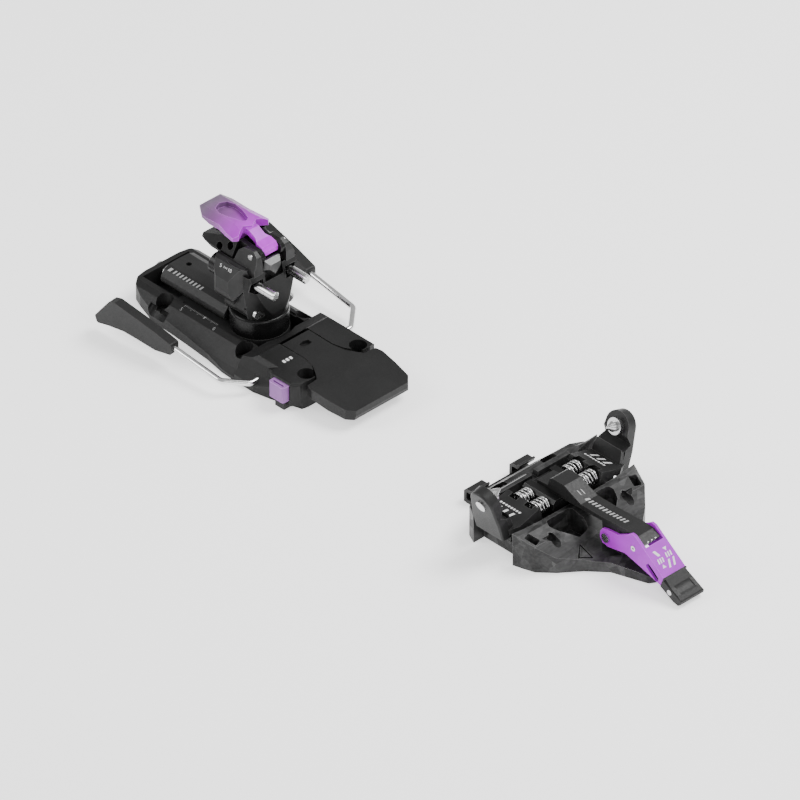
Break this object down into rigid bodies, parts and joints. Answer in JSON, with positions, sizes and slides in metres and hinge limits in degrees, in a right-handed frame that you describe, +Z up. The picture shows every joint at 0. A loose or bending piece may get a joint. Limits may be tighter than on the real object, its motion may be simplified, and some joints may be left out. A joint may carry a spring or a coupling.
{
  "type": "touring binding",
  "caption": "Pin-type ski touring binding: a heel unit with brake, turning tower and climbing flaps, and a sprung toe unit with a lock lever.",
  "frame": {"origin": "on the ski surface, at the centre of the toe unit's four screw holes, right under the line of the toe pins", "axes": "+X towards the ski tip, +Y to the skier's left, +Z up from the ski"},
  "size_m": [0.392, 0.1112, 0.0725],
  "materials": {
    "carbon_plastic": "satin, marbled with short fibres",
    "black_aluminium": "black anodised satin",
    "grey_aluminium": "grey anodised",
    "black_plastic": "fine moulded grain",
    "purple_aluminium": "violet anodised satin",
    "lilac_plastic": "matte",
    "bright_steel": "polished hardened steel",
    "plain_steel": "turned",
    "spring_steel": "bright spring wire"
  },
  "bodies": {
    "toe_unit": {"toe_base": "carbon_plastic", "crampon_receptacle": "black_aluminium", "wing_axle_left": "plain_steel", "wing_axle_right": "plain_steel", "pedal_pin": "bright_steel"},
    "toe_wing_left": {"toe_wing_left": "black_aluminium", "toe_pin_left": "bright_steel"},
    "toe_wing_right": {"toe_wing_right": "black_aluminium", "toe_pin_right": "bright_steel"},
    "spring_carrier": {"spring_block": "black_aluminium", "spring_guide_rods": "plain_steel", "toe_springs_left": "spring_steel", "toe_springs_right": "spring_steel"},
    "toe_pedal": {"toe_pedal": "black_plastic"},
    "toe_lever": {"toe_lever": "purple_aluminium", "lever_cheek_rivets": "bright_steel", "lever_grip": "black_plastic", "lever_grip_pin": "bright_steel"},
    "heel_unit": {"heel_base": "black_plastic", "brake_housing": "black_plastic", "brake_lock_spring": "spring_steel", "carriage_spring": "spring_steel"},
    "brake_button": {"brake_lock_button": "lilac_plastic"},
    "brake": {"brake_wire_left": "bright_steel", "brake_wire_right": "bright_steel", "brake_paddle_left": "black_plastic", "brake_paddle_right": "black_plastic", "brake_treadle": "black_plastic"},
    "heel_carriage": {"heel_carriage": "black_plastic", "turret_drum": "black_aluminium", "turret_post": "plain_steel"},
    "adjuster": {"adjuster_screw": "bright_steel"},
    "heel_tower": {"tower_housing": "black_aluminium", "tower_front_plate": "black_aluminium", "front_plate_screws": "bright_steel", "release_springs": "spring_steel", "cam_block": "grey_aluminium", "flap_pin": "bright_steel"},
    "release_screw_left": {"release_screw_left": "bright_steel"},
    "release_screw_right": {"release_screw_right": "bright_steel"},
    "heel_pin_left": {"heel_pin_left": "bright_steel"},
    "heel_pin_right": {"heel_pin_right": "bright_steel"},
    "lower_flap": {"lower_flap": "black_aluminium"},
    "upper_flap": {"upper_flap": "purple_aluminium"}
  },
  "joints": [
    {"name": "unit_spacing", "type": "slide", "parent": "toe_unit", "child": "heel_unit", "axis": [1, 0, 0], "range_m": [-0.12, 0]},
    {"name": "toe_close", "type": "hinge", "parent": "toe_unit", "child": "toe_pedal", "pos_m": [0.0456, 0, 0.016], "axis": [0, -1, 0], "range_deg": [0, 4]},
    {"name": "wing_left_swing", "type": "hinge", "parent": "toe_unit", "child": "toe_wing_left", "pos_m": [0, 0.026, 0.014], "axis": [1, 0, 0], "range_deg": [0, 17], "deforming": ["toe_springs_left"]},
    {"name": "wing_right_swing", "type": "hinge", "parent": "toe_unit", "child": "toe_wing_right", "pos_m": [0, -0.026, 0.014], "axis": [-1, 0, 0], "range_deg": [0, 17], "deforming": ["toe_springs_right"]},
    {"name": "spring_block_drop", "type": "slide", "parent": "toe_unit", "child": "spring_carrier", "axis": [0, 0, -1], "range_m": [0, 0.0039]},
    {"name": "lever_lift", "type": "hinge", "parent": "toe_unit", "child": "toe_lever", "pos_m": [0.0456, 0, 0.016], "axis": [0, -1, 0], "range_deg": [0, 70]},
    {"name": "carriage_slide", "type": "slide", "parent": "heel_unit", "child": "heel_carriage", "axis": [1, 0, 0], "range_m": [-0.016, 0.0018], "deforming": ["carriage_spring"]},
    {"name": "adjuster_turn", "type": "hinge", "parent": "heel_unit", "child": "adjuster", "pos_m": [-0.289, 0, 0.0084], "axis": [1, 0, 0], "range_deg": [-5770, 660]},
    {"name": "turret_turn", "type": "hinge", "parent": "heel_carriage", "child": "heel_tower", "pos_m": [-0.2165, 0, 0.03], "axis": [0, 0, 1], "range_deg": [-90, 90]},
    {"name": "heel_pin_spread", "type": "slide", "parent": "heel_tower", "child": "heel_pin_left", "axis": [0, 1, 0], "range_m": [0, 0.002], "stiffness_N_per_m": 1500},
    {"name": "heel_pin_spread_right", "type": "slide", "parent": "heel_tower", "child": "heel_pin_right", "axis": [0, -1, 0], "range_m": [0, 0.002]},
    {"name": "release_turn_left", "type": "hinge", "parent": "heel_tower", "child": "release_screw_left", "pos_m": [-0.234, 0.0111, 0.0458], "axis": [1, 0, 0], "continuous": true},
    {"name": "release_turn_right", "type": "hinge", "parent": "heel_tower", "child": "release_screw_right", "pos_m": [-0.234, -0.0111, 0.0458], "axis": [1, 0, 0], "continuous": true},
    {"name": "lower_flap_fold", "type": "hinge", "parent": "heel_tower", "child": "lower_flap", "pos_m": [-0.2104, 0, 0.0616], "axis": [0, 1, 0], "range_deg": [0, 80]},
    {"name": "upper_flap_fold", "type": "hinge", "parent": "lower_flap", "child": "upper_flap", "pos_m": [-0.2104, 0, 0.0616], "axis": [0, 1, 0], "range_deg": [0, 75]},
    {"name": "brake_swing", "type": "hinge", "parent": "heel_unit", "child": "brake", "pos_m": [-0.1855, 0, 0.007], "axis": [0, -1, 0], "range_deg": [0, 45]},
    {"name": "button_press", "type": "slide", "parent": "heel_unit", "child": "brake_button", "axis": [0, 1, 0], "range_m": [0, 0.003], "stiffness_N_per_m": 200, "deforming": ["brake_lock_spring"]}
  ],
  "couplings": [
    {"joint": "wing_left_swing", "follows": "toe_close", "ratio": 4.25},
    {"joint": "wing_right_swing", "follows": "toe_close", "ratio": 4.25},
    {"joint": "spring_block_drop", "follows": "toe_close", "m_per_rad": 0.0558},
    {"joint": "heel_pin_spread_right", "follows": "heel_pin_spread", "ratio": 1},
    {"joint": "adjuster_turn", "follows": "carriage_slide", "rad_per_m": 6283.2}
  ]
}
